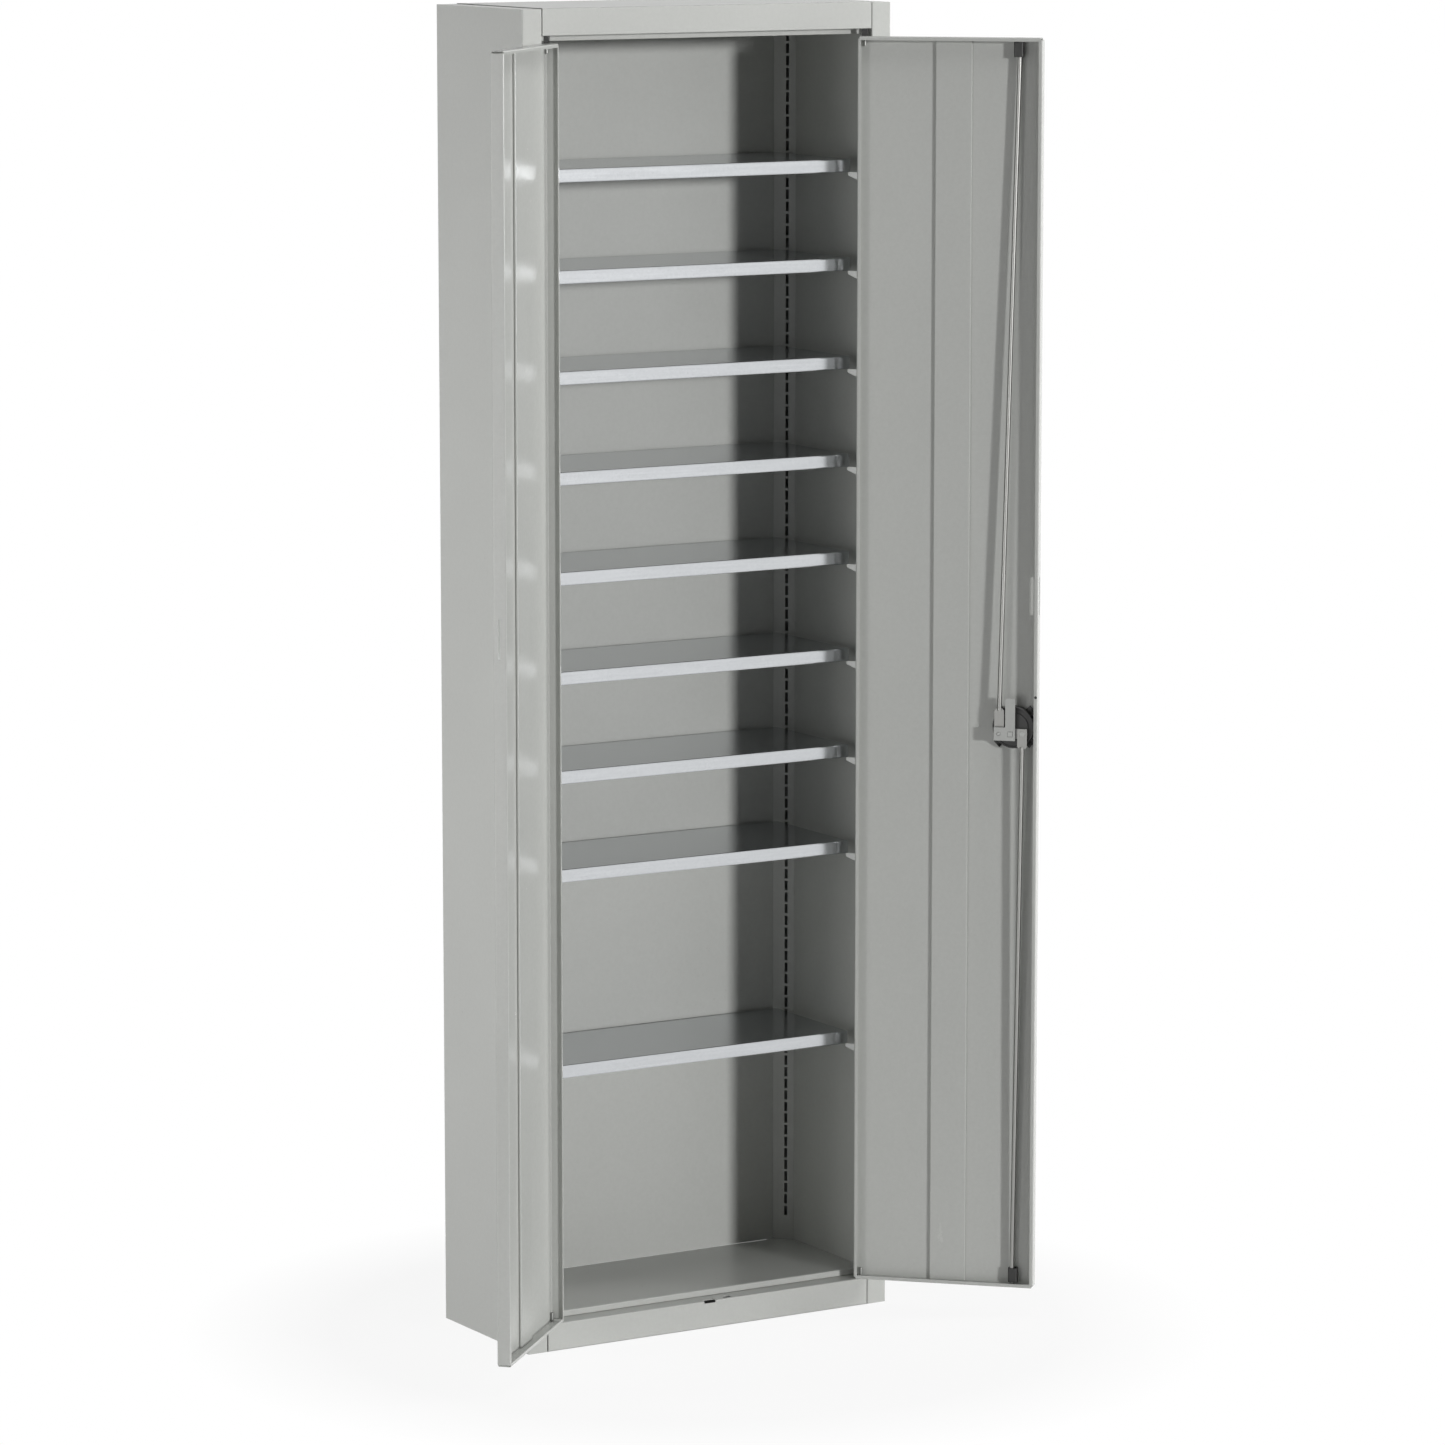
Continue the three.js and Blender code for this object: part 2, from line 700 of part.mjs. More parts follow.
function spindle() {
  const half = spindleSide / 2;
  return box(lockX - half, lockX + half, wingFace + cylinderLength + 2 * fitGap, plateTop,
    lockHeight - half, lockHeight + half);
}

// Rod: a flattened end bored for its pin, and a round bar that leans from there to its guide
function rod(side, flatLength, tipZ) {
  const pinX = lockX - side * pinArm;
  const start = lockHeight - side * rodFlatEnd;
  const end = start + side * flatLength;
  const lean = rodFlatWidth / 2;
  const outline = rows(
    [pinX - lean, start], [pinX + lean, start], [pinX + lean, end - side * lean / 2],
    [pinX + lean / 2, end], [pinX - lean / 2, end], [pinX - lean, end - side * lean / 2]);
  const flat = frontToBack(outline, flatBase, flatTop);
  const from = new THREE.Vector3(pinX, rodAxisAtLock, end - side * lean / 2);
  const guide = new THREE.Vector3(rodPlace.x, rodPlace.y, tipZ);
  const length = from.distanceTo(guide);
  const bar = new THREE.CylinderGeometry(rodRadius, rodRadius, length, rodSides)
    .translate(0, length / 2, 0)
    .applyQuaternion(new THREE.Quaternion().setFromUnitVectors(
      new THREE.Vector3(0, 1, 0), guide.clone().sub(from).normalize()))
    .translate(from.x, from.y, from.z);
  const bore = across(round(pinHoleRadius, holeSteps), pinX, lockHeight, flatBase - overrun, flatTop + overrun);
  return cut(join(flat, bar), bore);
}

// Guide: a moulded block with an oblong bore, in which the rod slides and sways as the pins turn
function rodGuide(side, fromZ) {
  const toZ = fromZ + guideLength;
  const outer = rodSlot(side, guideWall);
  const reach = outer.map((point) => point.x);
  const foot = box(Math.min(...reach), Math.max(...reach), housingBase, rodPlace.y, fromZ, toZ);
  const block = join(upright(outer, fromZ, toZ), foot);
  return cut(block, upright(rodSlot(side), fromZ - overrun, toZ + overrun));
}

// Outside handle: rose on the door's face, hub and wing on the spindle, key cylinder in the wing
const roseFace = -fitGap - roseThickness;
const hubBase = roseFace - fitGap;
const hubFace = hubBase - hubHeight;
const wingFace = hubBase - hubHeight / 2 - wingThickness;
function rose() {
  return cut(across(round(roseRadius, discSteps), lockX, lockHeight, roseFace, -fitGap),
    across(round(spindleHole, holeSteps), lockX, lockHeight, -overrun, overrun));
}

function turnHandle() {
  const hub = across(round(hubRadius, discSteps), lockX, lockHeight, hubFace, hubBase);
  const wing = across(roundedBlock(wingWidth / 2, wingLength / 2, wingFillet), lockX, lockHeight,
    wingFace, wingFace + wingThickness);
  const cylinderBore = across(round(cylinderRadius + fitGap, ringSteps), lockX, lockHeight,
    wingFace - overrun, wingFace + cylinderLength - fitGap);
  return cut(join(hub, wing), cylinderBore, squareHole(wingFace + cylinderLength + fitGap, overrun));
}

function keyCylinder() {
  const front = wingFace - cylinderProud;
  const barrel = across(round(cylinderRadius, ringSteps), lockX, lockHeight, front,
    wingFace + cylinderLength - 2 * fitGap);
  const keySlot = box(lockX - keySlotLength / 2, lockX + keySlotLength / 2, front - overrun,
    front + keySlotDepth, lockHeight - keySlotWidth / 2, lockHeight + keySlotWidth / 2);
  return cut(barrel, keySlot);
}

// Assembly
function piece(name, geometry, look) {
  const mesh = new THREE.Mesh(geometry, new THREE.MeshStandardMaterial(look));
  mesh.name = name;
  return mesh;
}

const cupboard = new THREE.Group();

function addPair(name, geometry, look) {
  cupboard.add(piece(name.replace('SIDE', 'left'), geometry, look));
  cupboard.add(piece(name.replace('SIDE', 'right'), mirrored(geometry), look));
}

addPair('SIDE_side_panel', sidePan(), paint);
addPair('SIDE_inner_wall', innerWall(), paint);
addPair('rear_SIDE_slot_strip', rearStrip(), paint);
addPair('front_SIDE_slot_strip', frontStrip(), paint);
addPair('upper_SIDE_hinge_pin', hingePin(doorTop - pinReach, headerBottom - fitGap), zinc);
addPair('lower_SIDE_hinge_pin', hingePin(plinthHeight + fitGap, doorBottom + pinReach), zinc);
cupboard.add(piece('back_panel', backPanel(), paint));
cupboard.add(piece('top_panel', topPanel(), paint));
cupboard.add(piece('header_rail', headerRail(), paint));
cupboard.add(piece('plinth', plinth(), paint));
cupboard.add(piece('floor_panel', floorPanel(), paint));
shelfTops.forEach((top, index) => cupboard.add(piece(`shelf_${index + 1}`, shelf(top), galvanised)));

// A door hangs in a group at its pivot and stands open; the right one is the left one's mirror image
function addDoor(side) {
  const flip = side === 'right';
  const hung = new THREE.Group();
  hung.position.set(flip ? -pivotX : pivotX, pivotY, 0);
  hung.rotation.z = THREE.MathUtils.degToRad(flip ? doorOpenDegrees : -doorOpenDegrees);
  cupboard.add(hung);
  const hang = (name, geometry, look) => {
    const placed = flip ? mirrored(geometry) : geometry;
    hung.add(piece(name, placed.translate(-hung.position.x, -pivotY, 0), look));
  };
  hang(`${side}_door_panel`, doorPan(flip), paint);
  hang(`${side}_door_stiffener`, stiffener(), paint);
  hang(`${side}_upper_hinge_bush`, upperBush(), plastic);
  hang(`${side}_lower_hinge_washer`, lowerWasher(), plastic);
  return hang;
}

addDoor('left');
const hang = addDoor('right');
hang('lock_housing', housing(), plastic);
earAngles.forEach((angle, index) => hang(`lock_screw_${index + 1}`, lockScrew(angle), blackened));
hang('rotor_arm', rotorArm(), zinc);
hang('cam_plate', camPlate(), zinc);
hang('upper_rod_pin', upperRodPin(), zinc);
hang('lower_rod_pin', lowerRodPin(), zinc);
hang('lock_spindle', spindle(), zinc);
hang('upper_rod', rod(1, upperFlatLength, doorTop - rodInset), steel);
hang('lower_rod', rod(-1, lowerFlatLength, doorBottom + rodInset), steel);
hang('upper_rod_guide', rodGuide(-1, doorTop - guideEndGap - guideLength), plastic);
hang('lower_rod_guide', rodGuide(1, doorBottom + guideEndGap), plastic);
hang('handle_rose', rose(), plastic);
hang('turn_handle', turnHandle(), plastic);
hang('key_cylinder', keyCylinder(), chrome);

// The origin is on the floor, under the middle of the box round the open cupboard
const middle = new THREE.Box3().setFromObject(cupboard).getCenter(new THREE.Vector3());
cupboard.position.set(-middle.x, -middle.y, 0);

export default cupboard;
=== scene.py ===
import math

import bmesh
import bpy
from mathutils import Matrix, Vector


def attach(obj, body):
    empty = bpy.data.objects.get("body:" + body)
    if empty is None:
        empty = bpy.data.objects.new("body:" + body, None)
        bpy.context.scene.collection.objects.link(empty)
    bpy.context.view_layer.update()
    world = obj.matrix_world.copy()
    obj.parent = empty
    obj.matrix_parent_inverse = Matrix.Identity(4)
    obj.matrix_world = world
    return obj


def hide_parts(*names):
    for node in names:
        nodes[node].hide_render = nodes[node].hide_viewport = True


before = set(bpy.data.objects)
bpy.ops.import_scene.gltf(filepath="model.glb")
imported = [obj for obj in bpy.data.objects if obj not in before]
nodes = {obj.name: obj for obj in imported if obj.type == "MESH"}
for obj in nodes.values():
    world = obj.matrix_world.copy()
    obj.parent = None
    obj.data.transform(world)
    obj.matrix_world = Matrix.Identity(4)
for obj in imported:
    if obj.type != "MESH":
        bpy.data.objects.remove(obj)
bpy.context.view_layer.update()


# Side pans, lid, header rail, floor, walls and back: cold-rolled sheet about 1 mm thick,
# folded at the edges and spot-welded into one carcass, then powder-coated light grey all over.
class Wire:
    """One shader value; sums and products written in Python become Math nodes."""

    def __init__(self, tree, socket):
        self.tree = tree
        self.socket = socket

    def plug(self, entry, value):
        if isinstance(value, Wire):
            self.tree.links.new(value.socket, entry)
        else:
            entry.default_value = value

    def worked(self, operation, first, second):
        node = self.tree.nodes.new("ShaderNodeMath")
        node.operation = operation
        self.plug(node.inputs[0], first)
        self.plug(node.inputs[1], second)
        return Wire(self.tree, node.outputs[0])

    def __add__(self, other):
        return self.worked("ADD", self, other)

    __radd__ = __add__

    def __sub__(self, other):
        return self.worked("SUBTRACT", self, other)

    def __rsub__(self, other):
        return self.worked("SUBTRACT", other, self)

    def __mul__(self, other):
        return self.worked("MULTIPLY", self, other)

    __rmul__ = __mul__

    def __pow__(self, other):
        return self.worked("POWER", self, other)

    def __rpow__(self, other):
        return self.worked("POWER", other, self)

    def capped(self):
        return self.worked("MINIMUM", self.worked("MAXIMUM", self, 0.0), 1.0)


class Finish:
    """A surface finish under way, with one shader and one output."""

    def __init__(self, name, material=None):
        self.material = material or bpy.data.materials.new(name)
        self.material.use_nodes = True
        self.tree = self.material.node_tree
        self.tree.nodes.clear()

    def node(self, kind, settings=(), sockets=(), output=0):
        made = self.tree.nodes.new(kind)
        for name, value in dict(settings).items():
            if name == "stops":
                ramp = made.color_ramp.elements
                while len(ramp) < len(value):
                    ramp.new(1.0)
                for element, (place, colour) in zip(ramp, value):
                    element.position = place
                    element.color = colour
            else:
                setattr(made, name, value)
        for name, value in dict(sockets).items():
            entry = made.inputs[name]
            if isinstance(value, Wire):
                self.tree.links.new(value.socket, entry)
            else:
                entry.default_value = value
        return Wire(self.tree, made.outputs[output])

    def position(self):
        return self.node("ShaderNodeTexCoord", output="Object")

    def noise(self, place, scale, detail=2.0, roughness=0.5, distortion=0.0):
        return self.node("ShaderNodeTexNoise", {"noise_dimensions": "3D"}, {
            "Vector": place, "Scale": scale, "Detail": detail, "Roughness": roughness,
            "Distortion": distortion})

    def between(self, share, low, high):
        """A colour from low to high as share goes from 0 to 1."""
        return self.node("ShaderNodeMix", {"data_type": "RGBA"}, {0: share, 6: low, 7: high}, 2)

    def moved(self, x, y, z):
        """The piece's own place, moved so that no two pieces show the same cloud."""
        return self.node("ShaderNodeMapping", {"vector_type": "POINT"}, {
            "Vector": self.position(), "Location": (x, y, z)})

    def stretched(self, place, x, y, z):
        return self.node("ShaderNodeMapping", {"vector_type": "POINT"}, {
            "Vector": place, "Scale": (x, y, z)})

    def bump(self, height, strength, distance):
        return self.node("ShaderNodeBump", (), {
            "Strength": strength, "Distance": distance, "Height": height})

    def ends(self, output, surface):
        self.tree.links.new(surface.socket, self.tree.nodes.new(output).inputs["Surface"])
        return self.material

    def done(self, **shader):
        return self.ends("ShaderNodeOutputMaterial", self.node("ShaderNodeBsdfPrincipled", (), {
            name.replace("_", " "): value for name, value in shader.items()}))


def tone(red, green, blue, level=1.0):
    return (red * level, green * level, blue * level, 1.0)


grain_scale = 520.0
speckle_scale = 150.0
coat_shade = (0.474, 0.482, 0.462)
coat_light = (0.532, 0.540, 0.519)
carcass_roughness = 0.31
carcass_sheen = 0.35


def powder_coat(name, level=1.0, shift=0.0, rough=carcass_roughness, sheen=carcass_sheen):
    """Light grey powder coat: fine orange peel, faint clouds and a few dull rub marks; level darkens or
    lightens the whole colour, used as painted shade and painted light.
    """
    coat = Finish(name)
    place = coat.moved(shift, shift * 0.7, shift * 1.3)
    grains = coat.noise(place, grain_scale, 2.0, 0.6)
    speckle = coat.noise(place, speckle_scale, 3.0, 0.65)
    clouds = coat.noise(place, 4.0, 2.0, 0.5)
    rubbed = (coat.noise(coat.stretched(place, 22.0, 22.0, 5.0), 1.0, 5.0, 0.7, 0.4) * 5.0 - 3.1).capped()
    share = (0.5 + (clouds - 0.5) * 0.5 + (speckle - 0.5) * 0.9 + (grains - 0.5) * 0.5
             - rubbed * 0.12).capped()
    return coat.done(
        Base_Color=coat.between(share, tone(*coat_shade, level), tone(*coat_light, level)),
        Roughness=(rough + (speckle - 0.5) * 0.12 + (clouds - 0.5) * 0.06 + rubbed * 0.10).capped(),
        Specular_IOR_Level=sheen,
        Normal=coat.bump(grains * 0.6 + speckle, 0.22, 0.0004),
    )


def dress(finish, *names):
    for name in names:
        shape = nodes[name].data
        shape.materials.clear()
        shape.materials.append(finish)


outer_coat = powder_coat("powder_coat_carcass")
dress(outer_coat, "left_side_panel", "right_side_panel", "top_panel", "header_rail")
# Painted shade: the inside walls, back and floor take the carcass coat painted 3% darker.
inner_coat_painted_shade = powder_coat("powder_coat_inside_painted_shade", 0.97, 3.0)
dress(inner_coat_painted_shade, "left_inner_wall", "right_inner_wall", "back_panel", "floor_panel")


# Plinth: a folded channel across the foot of the carcass, notched through its upper front edge
# where the doors meet, and pierced beside the notch for the lower rod; coated with the carcass.
def alone():
    bpy.ops.object.select_all(action="DESELECT")


def settle(shape):
    """Puts a new piece's place and turn into its mesh, so that its object stands at the origin."""
    alone()
    shape.select_set(True)
    bpy.context.view_layer.objects.active = shape
    bpy.ops.object.transform_apply(location=True, rotation=True, scale=True)
    return shape


def block(name, low, high):
    alone()
    low, high = Vector(low), Vector(high)
    bpy.ops.mesh.primitive_cube_add(size=1.0, location=(low + high) / 2, scale=high - low)
    shape = bpy.context.object
    shape.name = name
    return settle(shape)


def modified(shape, kind, **settings):
    alone()
    shape.select_set(True)
    bpy.context.view_layer.objects.active = shape
    change = shape.modifiers.new(kind.lower(), kind)
    for setting, value in settings.items():
        setattr(change, setting, value)
    bpy.ops.object.modifier_apply(modifier=change.name)
    return shape


def eased(shape, width, segments=2, angle=35.0):
    """Rounds the sharp edges and shades what is left smooth."""
    modified(shape, "BEVEL", width=width, segments=segments, limit_method="ANGLE",
             angle_limit=math.radians(angle), use_clamp_overlap=True)
    alone()
    shape.select_set(True)
    bpy.context.view_layer.objects.active = shape
    bpy.ops.object.shade_smooth_by_angle(angle=math.radians(angle))
    modified(shape, "WEIGHTED_NORMAL", weight=100, keep_sharp=True)
    return shape


def bored(shape, *cutters):
    for cutter in cutters:
        modified(shape, "BOOLEAN", operation="DIFFERENCE", solver="EXACT", object=cutter)
        bpy.data.objects.remove(cutter)
    return shape


def fitted(shape, body, finish, slot, *stands_for):
    """Gives a finished piece its material, its body and the solids that it stands for; the slot is not used.
    """
    shape.data.materials.clear()
    shape.data.materials.append(finish)
    if stands_for:
        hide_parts(*stands_for)
    if body:
        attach(shape, body)
    return shape


def corners_rounded(shape, along, radius, segments=8):
    """Rounds the edges that run one way, as the corners of a blanked plate are."""
    along = Vector(along)
    alone()
    shape.select_set(True)
    bpy.context.view_layer.objects.active = shape
    bpy.ops.object.mode_set(mode="EDIT")
    bpy.ops.mesh.select_mode(type="EDGE")
    bpy.ops.mesh.select_all(action="DESELECT")
    grid = bmesh.from_edit_mesh(shape.data)
    for edge in grid.edges:
        run = (edge.verts[1].co - edge.verts[0].co).normalized()
        edge.select = abs(run.dot(along)) > 0.999
    bmesh.update_edit_mesh(shape.data)
    bpy.ops.mesh.bevel(offset=radius, segments=segments, affect="EDGES")
    bpy.ops.object.mode_set(mode="OBJECT")
    return shape


gauge = 0.001
past = 0.01
bend_outside, bend_inside = 0.002, 0.001
plinth_half, plinth_height, plinth_front = 0.3033, 0.045, -0.03342
blank_depth, ledge_depth, foot_depth = 0.050, 0.040, 0.020
notch_half, notch_depth, notch_drop = 0.0105, 0.0074, 0.0038
hole_left, hole_right = 0.0300, 0.0434
hole_near, hole_far = plinth_front + 0.0046, plinth_front + 0.0134
hole_corner = 0.00439

rail = block("plinth_channel", (-plinth_half, plinth_front, 0),
             (plinth_half, plinth_front + blank_depth, plinth_height))
corners_rounded(rail, (1, 0, 0), bend_outside)
hollow = block("hollow", (-plinth_half - past, plinth_front + gauge, gauge),
               (plinth_half + past, plinth_front + blank_depth + past, plinth_height - gauge))
corners_rounded(hollow, (1, 0, 0), bend_inside)
rod_hole = block("rod_hole", (hole_left, hole_near, plinth_height - past),
                 (hole_right, hole_far, plinth_height + past))
corners_rounded(rod_hole, (0, 0, 1), hole_corner)
bored(rail, hollow, rod_hole,
      block("ledge_end", (-plinth_half - past, plinth_front + ledge_depth, plinth_height / 2),
            (plinth_half + past, plinth_front + blank_depth + past, plinth_height + past)),
      block("foot_end", (-plinth_half - past, plinth_front + foot_depth, -past),
            (plinth_half + past, plinth_front + blank_depth + past, plinth_height / 2)),
      block("notch", (-notch_half, plinth_front - past, plinth_height - notch_drop),
            (notch_half, plinth_front + notch_depth, plinth_height + past)))
eased(rail, 0.0002, 1)
fitted(rail, "carcass", outer_coat, "painted_steel", "plinth")


# Slotted corner strips: punched and folded sheet in the four corners, powder-coated with the
# carcass but painted about 13% darker as painted shade; zinc-plated shelf clips hook into their slots and
# stand out from the slotted face.
proud_of_face = 0.0008


def strip_painted_shade_finish(name, slope, offset):
    """Coat on the strip, painted darker than the carcass coat as painted shade, and bare zinc on whatever
    stands in front of the slotted face.
    """
    strip = Finish(name)
    place = strip.position()
    across = strip.node("ShaderNodeSeparateXYZ", (), {"Vector": place}, "X")
    along = strip.node("ShaderNodeSeparateXYZ", (), {"Vector": place}, "Y")
    clip = ((along * slope - (across * across) ** 0.5 + offset - proud_of_face) * 3000.0).capped()
    speckle = strip.noise(place, speckle_scale, 3.0, 0.65)
    grain = strip.noise(place, grain_scale, 2.0, 0.6)
    # Painted shade: the strip's coat is the carcass coat about 13% darker.
    coat = strip.between((0.5 + (speckle - 0.5) * 0.9 + (grain - 0.5) * 0.5).capped(),
                         tone(0.412, 0.419, 0.402), tone(0.462, 0.469, 0.451))
    zinc = strip.between(speckle, tone(0.26, 0.265, 0.26), tone(0.34, 0.345, 0.335))
    return strip.done(
        Base_Color=strip.between(clip, coat, zinc),
        Metallic=clip,
        Roughness=(0.33 + clip * 0.05 + (speckle - 0.5) * 0.12).capped(),
        Specular_IOR_Level=carcass_sheen,
        Normal=strip.bump(grain * 0.6 + speckle, 0.2, 0.0004),
    )


dress(strip_painted_shade_finish("strip_coat_painted_shade_rear", -1.0, 0.53258), "rear_left_slot_strip", "rear_right_slot_strip")
dress(strip_painted_shade_finish("strip_coat_painted_shade_front", 1.0, 0.30892), "front_left_slot_strip", "front_right_slot_strip")


# Shelves: trays of bright galvanised sheet, folded down and back under on all sides; they rest
# on the clips, and their flat tops mirror the back wall softly.
def galvanised(name, shift):
    sheet = Finish(name)
    place = sheet.moved(shift, shift, shift)
    rolled = sheet.noise(sheet.stretched(place, 2.0, 60.0, 60.0), 6.0, 3.0, 0.6)
    spangle = sheet.node("ShaderNodeTexVoronoi", {"feature": "F1"}, {
        "Vector": place, "Scale": 170.0}, "Distance")
    grain = sheet.noise(place, 420.0, 3.0, 0.6)
    share = (0.5 + (rolled - 0.5) * 0.6 + (grain - 0.5) * 0.6 + (spangle - 0.4) * 0.2).capped()
    return sheet.done(
        Base_Color=sheet.between(share, tone(0.470, 0.484, 0.498), tone(0.545, 0.560, 0.575)),
        Metallic=1.0,
        Roughness=(0.20 + (grain - 0.5) * 0.08 + (rolled - 0.5) * 0.06).capped(),
        Normal=sheet.bump(grain + rolled * 0.5, 0.05, 0.0003),
    )


for number in range(1, 10):
    dress(galvanised(f"galvanised_shelf_{number}", number * 1.7), f"shelf_{number}")


# Doors: shallow pans of the same sheet, flanged on all four sides, each with a flat hat-shaped
# stiffener spot-welded up its inside; coated like the carcass, the coat painted 3% lighter as painted light.
door_coat_painted_light = powder_coat("powder_coat_doors_painted_light", 1.03, 8.0, 0.22, 0.5)
dress(door_coat_painted_light, "left_door_panel", "right_door_panel")
stiffener_coat_painted_light = powder_coat("powder_coat_stiffeners_painted_light", 1.03, 11.0, 0.22, 0.5)
dress(stiffener_coat_painted_light, "left_door_stiffener", "right_door_stiffener")


# Hinge pins: plain studs of zinc-plated round bar, chamfered at the free end, pressed and welded
# into the header rail and the plinth; the doors are lifted onto them.
def turned(name, radius, foot, head, sides=48):
    """A round bar from one end's centre to the other's."""
    alone()
    foot, head = Vector(foot), Vector(head)
    lean = (head - foot).to_track_quat("Z", "Y").to_euler()
    bpy.ops.mesh.primitive_cylinder_add(
        vertices=sides, radius=radius, depth=(head - foot).length,
        location=(foot + head) / 2, rotation=lean)
    shape = bpy.context.object
    shape.name = name
    return settle(shape)


def work_face(shape, toward, steps):
    """Works the end face that looks one way, step by step, as it would be pulled out by hand."""
    toward = Vector(toward)
    alone()
    shape.select_set(True)
    bpy.context.view_layer.objects.active = shape
    bpy.ops.object.mode_set(mode="EDIT")
    bpy.ops.mesh.select_mode(type="FACE")
    bpy.ops.mesh.select_all(action="DESELECT")
    grid = bmesh.from_edit_mesh(shape.data)
    facing = [face for face in grid.faces if face.normal.dot(toward) > 0.99]
    reach = max(face.calc_center_median().dot(toward) for face in facing)
    for face in facing:
        face.select = face.calc_center_median().dot(toward) > reach - 1e-6
    bmesh.update_edit_mesh(shape.data)
    for deed, amount in steps:
        grid = bmesh.from_edit_mesh(shape.data)
        picked = [face.calc_center_median() for face in grid.faces if face.select]
        centre = sum(picked, Vector()) / len(picked)
        if deed == "inset":
            bpy.ops.mesh.inset(thickness=amount, depth=0)
        elif deed == "raise":
            bpy.ops.mesh.extrude_region_move(TRANSFORM_OT_translate={"value": toward * amount})
        elif deed == "flare":
            bpy.ops.mesh.extrude_region_move(TRANSFORM_OT_translate={"value": (0, 0, 0)})
            bpy.ops.transform.resize(value=(amount, amount, amount), center_override=centre)
        elif deed == "taper":
            bpy.ops.transform.resize(value=(amount, amount, amount), center_override=centre)
        elif deed == "narrow":
            bpy.ops.transform.resize(value=(amount, 1, 1), center_override=centre)
    bpy.ops.object.mode_set(mode="OBJECT")
    return shape


def copied(shape, name, place):
    """Another piece from the same mould, with its own mesh, moved to its place."""
    twin = shape.copy()
    twin.data = shape.data.copy()
    twin.data.transform(place)
    twin.name = name
    bpy.context.scene.collection.objects.link(twin)
    return twin


def zinc_plate(name, level=1.0, shift=0.0):
    """Dull zinc plate: grey with faint cloudy spots and fine tumbling scratches."""
    plate = Finish(name)
    place = plate.moved(shift, shift, shift)
    clouds = plate.noise(place, 90.0, 3.0, 0.6)
    scratches = plate.noise(plate.stretched(place, 900.0, 900.0, 60.0), 1.0, 3.0, 0.6)
    share = (0.5 + (clouds - 0.5) * 0.9 + (scratches - 0.5) * 0.6).capped()
    return plate.done(
        Base_Color=plate.between(
            share, tone(0.265, 0.270, 0.262, level), tone(0.335, 0.340, 0.328, level)),
        Metallic=1.0,
        Roughness=(0.46 + (clouds - 0.5) * 0.10 + (scratches - 0.5) * 0.08).capped(),
        Normal=plate.bump(scratches, 0.04, 0.0001),
    )


stud_zinc = zinc_plate("zinc_hinge_pins")
hinge_x, hinge_y = 0.294, -0.02942
stud_radius, stud_point = 0.0025, 0.0008
studs = []
for level, foot, head in (("upper", 2.1072, 2.0798), ("lower", 0.0453, 0.0622)):
    stud = turned("stud", stud_radius, (0, 0, foot), (0, 0, head), 32)
    work_face(stud, (0, 0, math.copysign(1.0, head - foot)), [("raise", stud_point), ("taper", 0.7)])
    studs.append((level, eased(stud, 0.0001, 1)))
for side, across in (("left", -hinge_x), ("right", hinge_x)):
    for level, stud in studs:
        twin = copied(stud, f"{level}_{side}_hinge_stud", Matrix.Translation((across, hinge_y, 0)))
        fitted(twin, "carcass", stud_zinc, "zinc_plated_steel", f"{level}_{side}_hinge_pin")
for level, stud in studs:
    bpy.data.objects.remove(stud)


# Hinge bushes and washers: black nylon, a block with rounded corners over each door's upper
# corner and a ring under its lower one; they keep the doors off the frame as they swing.
def moulded_black(name, low=0.0095, high=0.0150, rough=0.42, shift=0.0):
    """Black moulding with a fine spark-eroded grain and faint clouds of wear."""
    moulding = Finish(name)
    place = moulding.moved(shift, shift, shift)
    grain = moulding.noise(place, 1400.0, 2.0, 0.5)
    clouds = moulding.noise(place, 60.0, 3.0, 0.6)
    share = (0.5 + (clouds - 0.5) * 1.2 + (grain - 0.5) * 0.4).capped()
    return moulding.done(
        Base_Color=moulding.between(share, tone(low, low, low * 0.95), tone(high, high, high * 0.95)),
        Roughness=(rough + (clouds - 0.5) * 0.16 + (grain - 0.5) * 0.10).capped(),
        Normal=moulding.bump(grain, 0.15, 0.0001),
    )


bush_black = moulded_black("black_hinge_nylon")
open_angle = 135.7


def at_hinge(side):
    """From a shut door's own place, with its pivot at the middle, to the open door."""
    way = -1 if side == "left" else 1
    return (Matrix.Translation((way * hinge_x, hinge_y, 0))
            @ Matrix.Rotation(way * math.radians(open_angle), 4, "Z"))


bush_half_width, bush_half_depth, bush_low, bush_high = 0.00475, 0.0038, 2.0953, 2.1069
washer_radius, washer_low, washer_high = 0.0038, 0.0453, 0.0467
stud_bore = 0.0028
bush = block("bush", (-bush_half_width, -bush_half_depth, bush_low),
             (bush_half_width, bush_half_depth, bush_high))
bored(bush, turned("bore", stud_bore, (0, 0, bush_low - past), (0, 0, bush_high + past), 32))
eased(bush, 0.0006, 2)
washer = turned("washer", washer_radius, (0, 0, washer_low), (0, 0, washer_high), 48)
bored(washer, turned("bore", stud_bore, (0, 0, washer_low - past), (0, 0, washer_high + past), 32))
eased(washer, 0.0002, 1)
for side in ("left", "right"):
    for shape, level, kind in ((bush, "upper", "bush"), (washer, "lower", "washer")):
        twin = copied(shape, f"{side}_{level}_{kind}", at_hinge(side))
        fitted(twin, f"{side}_door", bush_black, "black_plastic", f"{side}_{level}_hinge_{kind}")
bpy.data.objects.remove(bush)
bpy.data.objects.remove(washer)


# Lock housing: a round black moulding on the door's inside, with a raised rim, a sunk ring and a
# plain disc, held by four blackened screws through flat tabs.
def welded(shape, *others):
    for other in others:
        modified(shape, "BOOLEAN", operation="UNION", solver="EXACT", object=other)
        bpy.data.objects.remove(other)
    return shape


lock_from_hinge, lock_from_face, lock_height = 0.249, 0.004, 0.970


def on_lock(shape):
    """From the lock's own place, hinge toward +X and room toward +Y, to the open right door."""
    shape.data.transform(
        at_hinge("right") @ Matrix.Translation((-lock_from_hinge, -lock_from_face, lock_height)))
    return shape


